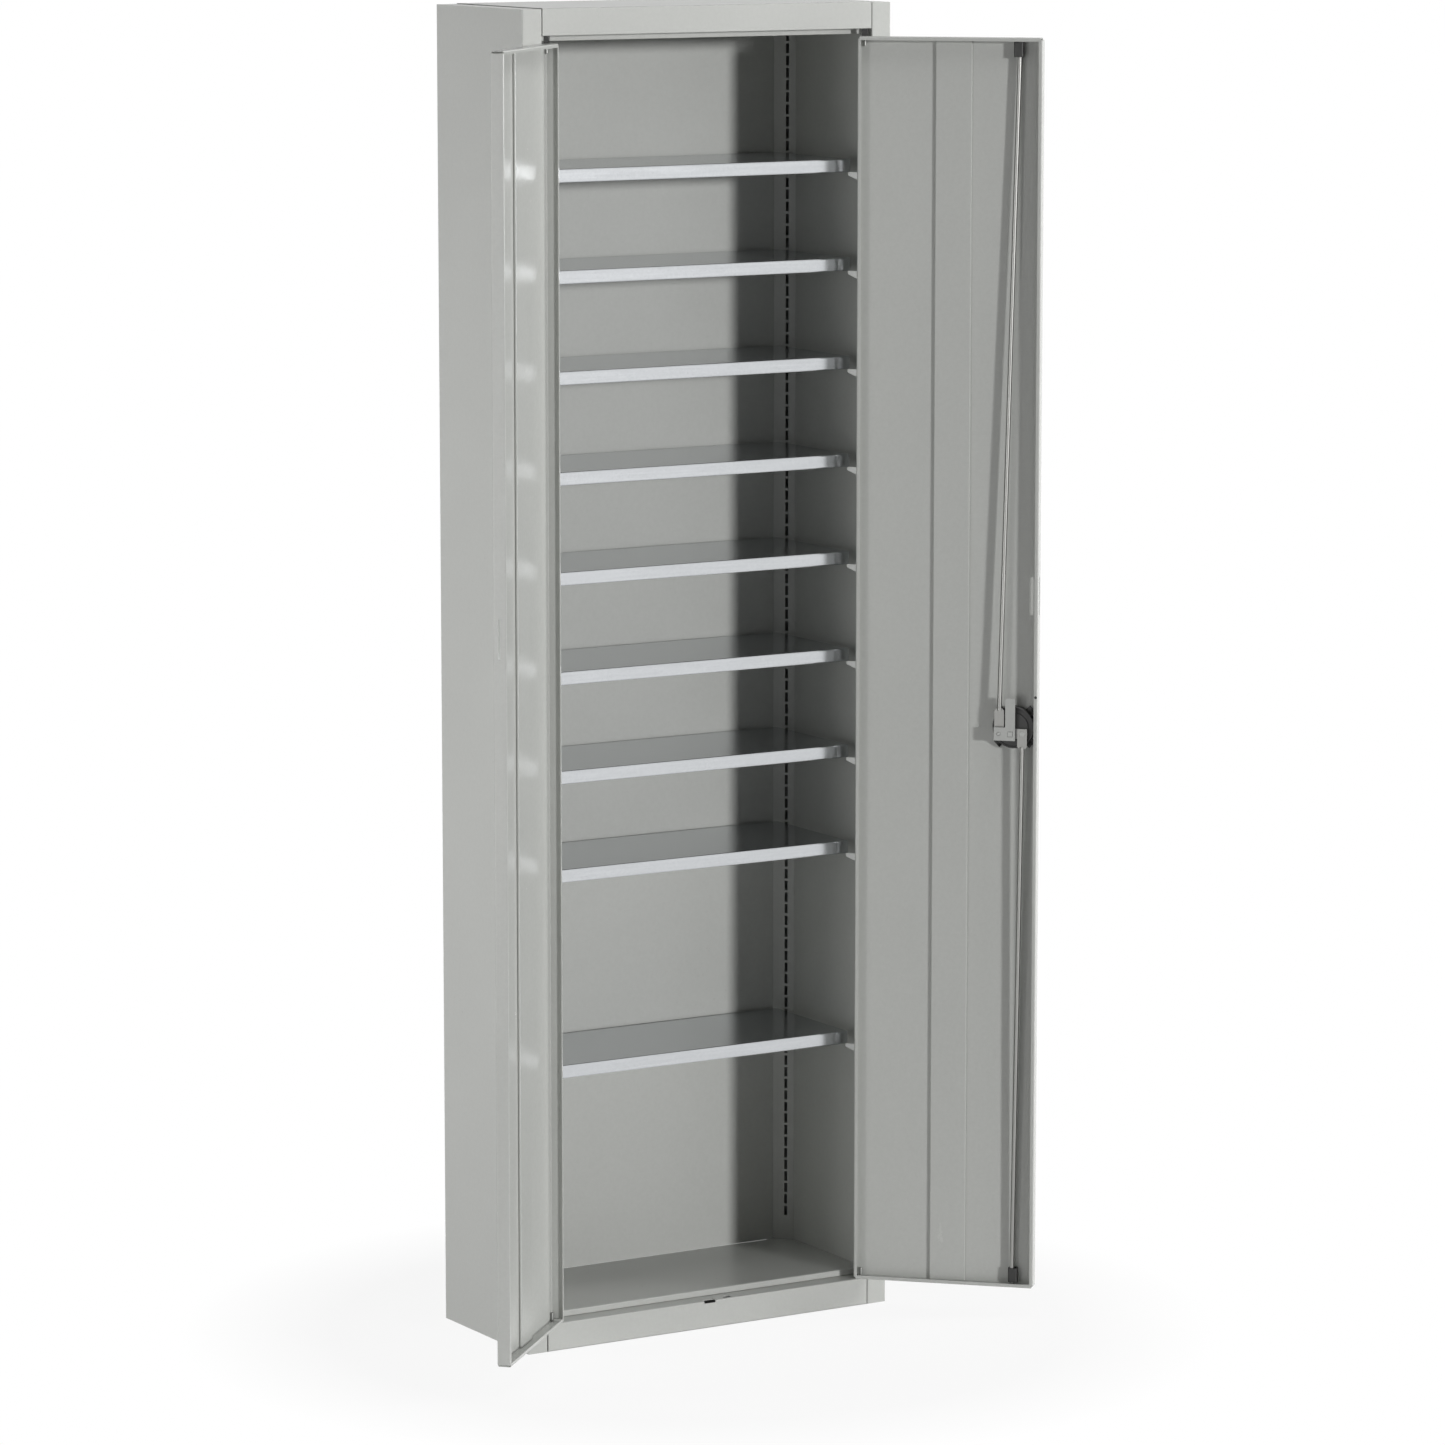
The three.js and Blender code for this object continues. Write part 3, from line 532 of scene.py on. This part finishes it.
lock_black = moulded_black("black_lock_moulding", 0.015, 0.027, 0.40, 2.0)
case_x, case_z, case_radius = -0.0035, 0.010, 0.0345
case_foot, case_face = 0.0013, 0.0143
spindle_bore = 0.0062
tab_reach, tab_half, tab_face = 0.042, 0.007, 0.0053
case = turned("lock_case", case_radius, (case_x, case_foot, case_z), (case_x, case_face, case_z), 96)
work_face(case, (0, 1, 0), [
    ("raise", 0.0010), ("taper", 0.972), ("inset", 0.0016), ("raise", -0.0034),
    ("inset", 0.0080), ("raise", 0.0026)])
tabs = []
for eighth in (1, 3, 5, 7):
    tab = block("tab", (0, case_foot, -tab_half), (tab_reach, tab_face, tab_half))
    tab.data.transform(Matrix.Translation((case_x, 0, case_z))
                       @ Matrix.Rotation(eighth * math.pi / 4, 4, "Y"))
    tabs.append(tab)
welded(case, *tabs)
bored(case, turned("bore", spindle_bore, (0, 0, 0), (0, case_face + past, 0)))
eased(case, 0.0004, 2)
on_lock(case)
fitted(case, "right_door", lock_black, "black_plastic", "lock_housing")

screw_black = zinc_plate("blackened_screws", 0.12, 4.0)
screw_ring = (case_radius + tab_reach) / 2
screw_radius, screw_face, cross_floor = 0.0018, 0.0056, 0.0066
cross_half, cross_thin = 0.0013, 0.0003
screw = turned("screw", screw_radius, (0, case_foot, 0), (0, screw_face, 0), 32)
work_face(screw, (0, 1, 0), [("flare", 1.75), ("raise", 0.0012), ("raise", 0.0006), ("taper", 0.6)])
bored(screw, *[block("cross", (-a, cross_floor, -b), (a, screw_face + past, b))
               for a, b in ((cross_half, cross_thin), (cross_thin, cross_half))])
eased(screw, 0.0001, 1, 50.0)
for number, eighth in enumerate((3, 1, 7, 5), 1):
    lean = eighth * math.pi / 4
    place = (case_x + screw_ring * math.cos(lean), 0, case_z + screw_ring * math.sin(lean))
    twin = on_lock(copied(screw, f"screw_{number}", Matrix.Translation(place)))
    fitted(twin, "right_door", screw_black, "blackened_steel", f"lock_screw_{number}")
bpy.data.objects.remove(screw)


# Rotor: a zinc-plated arm behind the rods' flats that carries both rod pins, and a plate over
# them with a tongue that turns behind the other door's lip; both sit on the square spindle.
lock_zinc = zinc_plate("zinc_lock_plate", 0.92, 7.0)
pin_reach, pin_radius, pin_bore = 0.019, 0.0030, 0.0033
square_half, square_hole = 0.0040, 0.0043
arm_half_length, arm_half_width, arm_corner = 0.027, 0.008, 0.0076
arm_back, arm_face = 0.0160, 0.0178
arm = block("rotor_bar", (-arm_half_length, arm_back, -arm_half_width),
            (arm_half_length, arm_face, arm_half_width))
corners_rounded(arm, (0, 1, 0), arm_corner)
bored(arm, block("square", (-square_hole, arm_back - past, -square_hole),
                 (square_hole, arm_face + past, square_hole)),
      *[turned("bore", pin_bore, (across, arm_back - past, 0), (across, arm_face + past, 0))
        for across in (-pin_reach, pin_reach)])
eased(arm, 0.0002, 1)
on_lock(arm)
fitted(arm, "lock_rotor", lock_zinc, "zinc_plated_steel", "rotor_arm")

plate_back, plate_face, plate_half = 0.0235, 0.0255, 0.011
tongue_half, tongue_tip, plate_end, plate_corner = 0.00825, 0.059, 0.0270, 0.0012
plate = block("tongue_plate", (-tongue_half, plate_back, -plate_half), (tongue_half, plate_face, tongue_tip))
welded(plate, block("bar", (0, plate_back, -plate_half), (plate_end, plate_face, plate_half)))
corners_rounded(plate, (0, 1, 0), plate_corner, 4)
bored(plate, block("square", (-square_hole, plate_back - past, -square_hole),
                   (square_hole, plate_face + past, square_hole)),
      turned("bore", pin_radius, (pin_reach, plate_back - past, 0), (pin_reach, plate_face + past, 0)))
eased(plate, 0.0003, 2)
on_lock(plate)
fitted(plate, "lock_rotor", lock_zinc, "zinc_plated_steel", "cam_plate")

pin_zinc = zinc_plate("zinc_lock_pins", 1.0, 9.0)
pin_head = 0.0208
for name, across, steps, node in (
        ("tall_pin", pin_reach, [("raise", 0.0024), ("inset", 0.0015), ("raise", 0.0020),
                                 ("raise", 0.0003), ("taper", 0.8)], "upper_rod_pin"),
        ("short_pin", -pin_reach, [("raise", 0.0004), ("raise", 0.0004), ("taper", 0.85)], "lower_rod_pin")):
    pin = turned(name, pin_radius, (across, arm_back, 0), (across, pin_head, 0), 48)
    work_face(pin, (0, 1, 0), [("flare", 1.4)] + steps)
    eased(pin, 0.0001, 1, 50.0)
    on_lock(pin)
    fitted(pin, "lock_rotor", pin_zinc, "zinc_plated_steel", node)

spindle_tail = -0.0100
square_bar = block("square_spindle", (-square_half, spindle_tail, -square_half),
                   (square_half, plate_face, square_half))
eased(square_bar, 0.0005, 2)
on_lock(square_bar)
fitted(square_bar, "lock_rotor", pin_zinc, "zinc_plated_steel", "lock_spindle")


# Lip plug: a small black piece pressed into the hole in the right door's free lip, a little above the lock;
# it makes the hole look dark.
button_x, button_z, button_radius = -0.041, 0.061, 0.0024
button_foot, button_face = 0.0185, 0.0208
button = turned("lip_plug", button_radius, (button_x, button_foot, button_z),
                (button_x, button_face, button_z), 32)
work_face(button, (0, 1, 0), [("raise", 0.0004), ("taper", 0.85), ("raise", 0.0003), ("taper", 0.6)])
eased(button, 0.0001, 1, 50.0)
on_lock(button)
fitted(button, "right_door", bush_black, "black_plastic")


# Rods: bright round bar, hammered flat at the lock end and bored for its pin; each leans from the
# lock to its guide, and slides through the frame's keeper hole when the handle is turned.
def drawn_bar(name, shift):
    """Drawn bar: long fine die lines and a few dull storage marks."""
    steel = Finish(name)
    place = steel.moved(shift, shift, shift)
    lines = steel.noise(steel.stretched(place, 1500.0, 1500.0, 4.0), 1.0, 3.0, 0.6)
    marks = (steel.noise(steel.stretched(place, 60.0, 60.0, 14.0), 1.0, 4.0, 0.7) * 4.0 - 2.2).capped()
    share = (0.55 + (lines - 0.5) * 0.7 - marks * 0.35).capped()
    return steel.done(
        Base_Color=steel.between(share, tone(0.225, 0.225, 0.217), tone(0.30, 0.30, 0.288)),
        Metallic=1.0,
        Roughness=(0.32 + (lines - 0.5) * 0.10 + marks * 0.14).capped(),
        Normal=steel.bump(lines, 0.06, 0.0002),
    )


rod_radius, flat_half, shoulder_length = 0.00375, 0.008, 0.004
flat_back, flat_face = 0.0185, 0.0205
guide_x, guide_y = -0.006, 0.009
for side, across, start, end, tip in (
        ("upper", pin_reach, -0.0085, 0.0420, 1.1242), ("lower", -pin_reach, 0.0085, -0.0250, -0.9222)):
    way = math.copysign(1.0, end - start)
    shoulder = end - way * shoulder_length
    rod = block(f"{side}_lock_rod", (across - flat_half, flat_back, min(start, shoulder)),
                (across + flat_half, flat_face, max(start, shoulder)))
    work_face(rod, (0, 0, way), [("raise", shoulder_length), ("narrow", 0.5)])
    welded(rod, turned("bar", rod_radius, (across, (flat_back + flat_face) / 2, shoulder),
                       (guide_x, guide_y, tip), 40))
    bored(rod, turned("bore", pin_bore, (across, flat_back - past, 0), (across, flat_face + past, 0)))
    eased(rod, 0.0003, 2, 50.0)
    on_lock(rod)
    fitted(rod, f"{side}_rod", drawn_bar(f"drawn_bar_{side}", across * 200), "bright_steel", f"{side}_rod")


# Rod guides: black mouldings riveted inside the door's top and bottom corners, with an oblong
# bore in which the rods slide and sway.
guide_black = moulded_black("black_guide_moulding", 0.012, 0.020, 0.42, 5.0)
guide_back, guide_face, guide_height, guide_half, guide_wall = 0.0013, 0.0144, 0.024, 0.0054, 0.001
bore_back, bore_face, bore_round = 0.0046, 0.0134, 0.00439
for side, low, sway in (("upper", 1.094, 0.0046), ("lower", -0.916, -0.0046)):
    middle = guide_x + sway / 2
    reach = guide_half + abs(sway) / 2
    guide = block(f"{side}_guide", (middle - reach, guide_back, low),
                  (middle + reach, guide_face, low + guide_height))
    corners_rounded(guide, (0, 0, 1), 0.0030, 5)
    hole = block("hole", (middle - reach + guide_wall, bore_back, low - past),
                 (middle + reach - guide_wall, bore_face, low + guide_height + past))
    corners_rounded(hole, (0, 0, 1), bore_round, 10)
    bored(guide, hole)
    eased(guide, 0.0003, 2)
    on_lock(guide)
    fitted(guide, "right_door", guide_black, "black_plastic", f"{side}_rod_guide")


# Outside handle: a black moulded rose on the door's face, and a hub with a straight wing on the
# spindle; the key cylinder sits in the middle of the wing.
handle_black = moulded_black("black_handle_moulding", 0.012, 0.018, 0.38, 8.0)
rose_radius, rose_back, rose_face = 0.027, -0.0003, -0.0023
rose = turned("rose_disc", rose_radius, (0, rose_back, 0), (0, rose_face, 0), 96)
work_face(rose, (0, -1, 0), [("raise", 0.0010), ("taper", 0.955)])
bored(rose, turned("bore", spindle_bore, (0, -past, 0), (0, past, 0), 48))
eased(rose, 0.0004, 2)
on_lock(rose)
fitted(rose, "right_door", handle_black, "black_plastic", "handle_rose")

hub_radius, hub_back, hub_face = 0.017, -0.0036, -0.0186
wing_half_width, wing_half_length, wing_corner = 0.008, 0.042, 0.0075
wing_back, wing_face = -0.0116, -0.0226
barrel_bore, barrel_seat, square_floor = 0.0073, -0.0109, -0.0104
handle = turned("wing_handle", hub_radius, (0, hub_back, 0), (0, hub_face, 0), 96)
work_face(handle, (0, -1, 0), [("raise", 0.0010), ("taper", 0.94)])
wing = block("wing", (-wing_half_width, wing_face, -wing_half_length),
             (wing_half_width, wing_back, wing_half_length))
corners_rounded(wing, (0, 1, 0), wing_corner, 12)
work_face(wing, (0, -1, 0), [("taper", 0.96)])
eased(wing, 0.0012, 3)
welded(handle, wing)
bored(handle, turned("bore", barrel_bore, (0, wing_face - past, 0), (0, barrel_seat, 0), 64),
      block("square", (-square_hole, square_floor, -square_hole), (square_hole, 0, square_hole)))
eased(handle, 0.0004, 2)
on_lock(handle)
fitted(handle, "lock_rotor", handle_black, "black_plastic", "turn_handle")

satin = Finish("satin_chrome")
brushed = satin.noise(satin.stretched(satin.position(), 900.0, 900.0, 900.0), 1.0, 3.0, 0.6)
satin_chrome = satin.done(
    Base_Color=satin.between(brushed, tone(0.55, 0.55, 0.54), tone(0.68, 0.68, 0.67)),
    Metallic=1.0,
    Roughness=(0.20 + (brushed - 0.5) * 0.12).capped(),
    Normal=satin.bump(brushed, 0.05, 0.0001),
)
barrel_radius, barrel_foot, barrel_face = 0.007, -0.0112, -0.0234
key_half_length, key_half_width, key_floor = 0.0040, 0.0008, -0.0208
barrel = turned("key_barrel", barrel_radius, (0, barrel_foot, 0), (0, barrel_face, 0), 64)
work_face(barrel, (0, -1, 0), [("raise", 0.0004), ("taper", 0.93), ("inset", 0.0016), ("raise", -0.0003)])
bored(barrel, block("key_way", (-key_half_length, barrel_face - past, -key_half_width),
                    (key_half_length, key_floor, key_half_width)))
eased(barrel, 0.00015, 1)
on_lock(barrel)
fitted(barrel, "key_cylinder", satin_chrome, "chrome", "key_cylinder")


# Floor, backdrop and light: a white studio sweep, a low key lamp from the front right, tall boxes
# far off on the left, behind on the left and on the right, a narrow strip box beyond the open
# right door, and a box overhead. The sweep looks white and keeps a faint shadow.
def looked_at(finish):
    """1 for what the camera sees, also in or through the object, and 0 for plain light."""
    return (finish.node("ShaderNodeLightPath", output="Is Camera Ray")
            + finish.node("ShaderNodeLightPath", output="Is Glossy Ray")
            + finish.node("ShaderNodeLightPath", output="Is Transmission Ray")).capped()


bpy.ops.mesh.primitive_circle_add(vertices=96, radius=14.0, fill_type="NGON", location=(0, 0, -0.0003))
floor = bpy.context.object
floor.name = "studio_floor"
sweep = Finish("white_sweep")
spot = sweep.position()
spot_x = sweep.node("ShaderNodeSeparateXYZ", (), {"Vector": spot}, "X")
spot_y = sweep.node("ShaderNodeSeparateXYZ", (), {"Vector": spot}, "Y")
dark_half_width, dark_middle, dark_half_depth, edge_sharpness = 0.3376, 0.107, 0.1386, 4000.0
outside = (((spot_x ** 2 - dark_half_width ** 2) * edge_sharpness).capped()
           + (((spot_y - dark_middle) ** 2 - dark_half_depth ** 2) * edge_sharpness).capped()).capped()
white = sweep.node("ShaderNodeEmission", (), {"Color": (1, 1, 1, 1), "Strength": 1.0})
matt = sweep.node("ShaderNodeBsdfDiffuse", (), {"Color": (0.8, 0.8, 0.8, 1)})
far = sweep.node("ShaderNodeVectorMath", {"operation": "LENGTH"}, {"Vector": spot}, "Value")
near_white, fade_from, fade_rate = 0.9, 0.6, 0.4
whiteness = looked_at(sweep) * outside * (near_white + ((far - fade_from) * fade_rate).capped()).capped()
mixed = sweep.node("ShaderNodeMixShader", (), {0: whiteness, 1: matt, 2: white})
floor.data.materials.append(sweep.ends("ShaderNodeOutputMaterial", mixed))

world = bpy.context.scene.world or bpy.data.worlds.new("studio")
bpy.context.scene.world = world
sky = Finish("studio_sky", world)
dome = 0.02
sky.ends("ShaderNodeOutputWorld", sky.node("ShaderNodeBackground", (), {
    "Color": (1, 1, 1, 1), "Strength": looked_at(sky) * (1.0 - dome) + dome}))


def lamp(name, kind, place, target, energy, **settings):
    light = bpy.data.lights.new(name, kind)
    light.energy = energy
    for setting, value in settings.items():
        setattr(light, setting, value)
    held = bpy.data.objects.new(name, light)
    held.location = place
    held.rotation_euler = (Vector(target) - Vector(place)).to_track_quat("-Z", "Y").to_euler()
    held.visible_camera = False
    bpy.context.scene.collection.objects.link(held)


def box_lamp(name, place, target, energy, width, height):
    lamp(name, "AREA", place, target, energy, shape="RECTANGLE", size=width, size_y=height)


key_side, key_rise, key_spread = math.radians(13.5), math.radians(5.5), math.radians(5.5)
toward_key = Vector((math.sin(key_side) * math.cos(key_rise), -math.cos(key_side) * math.cos(key_rise),
                     math.sin(key_rise)))
lamp("key_lamp", "SUN", toward_key * 6, (0, 0, 0), 1.72, angle=key_spread)
box_lamp("left_box", (-4.36, -1.56, 0.9), (0, 0, 0.9), 36.0, 0.8, 2.2)
box_lamp("rear_left_box", (-3.6, 1.7, 1.0), (0, 0.1, 0.9), 74.0, 1.2, 2.4)
box_lamp("right_box", (3.6, -1.7, 2.4), (0, -0.1, 1.3), 50.0, 1.0, 2.0)
box_lamp("right_strip", (0.83, -0.444, 1.05), (-0.06, 0.013, 1.05), 1.7, 0.06, 2.1)
box_lamp("top_box", (0.6, -1.0, 4.0), (0, -0.1, 1.2), 24.0, 2.0, 1.0)


# Camera: a long lens nearly ten metres off at the front left, a little above the cupboard's top
# and looking slightly down, fitted to corners and edges of the cupboard in the photograph.
camera_place, camera_side, camera_fall, lens_length = (-4.9431, -8.2865, 2.4760), 31.0404, 8.7149, 150.513
eye = bpy.data.cameras.new("studio_camera")
eye.sensor_width = 36.0
eye.lens = lens_length
eye.clip_end = 200.0
camera = bpy.data.objects.new("studio_camera", eye)
camera.location = camera_place
camera.rotation_euler = (math.radians(90.0 - camera_fall), 0.0, math.radians(-camera_side))
bpy.context.scene.collection.objects.link(camera)
bpy.context.scene.camera = camera
bpy.context.scene.view_settings.view_transform = "Standard"
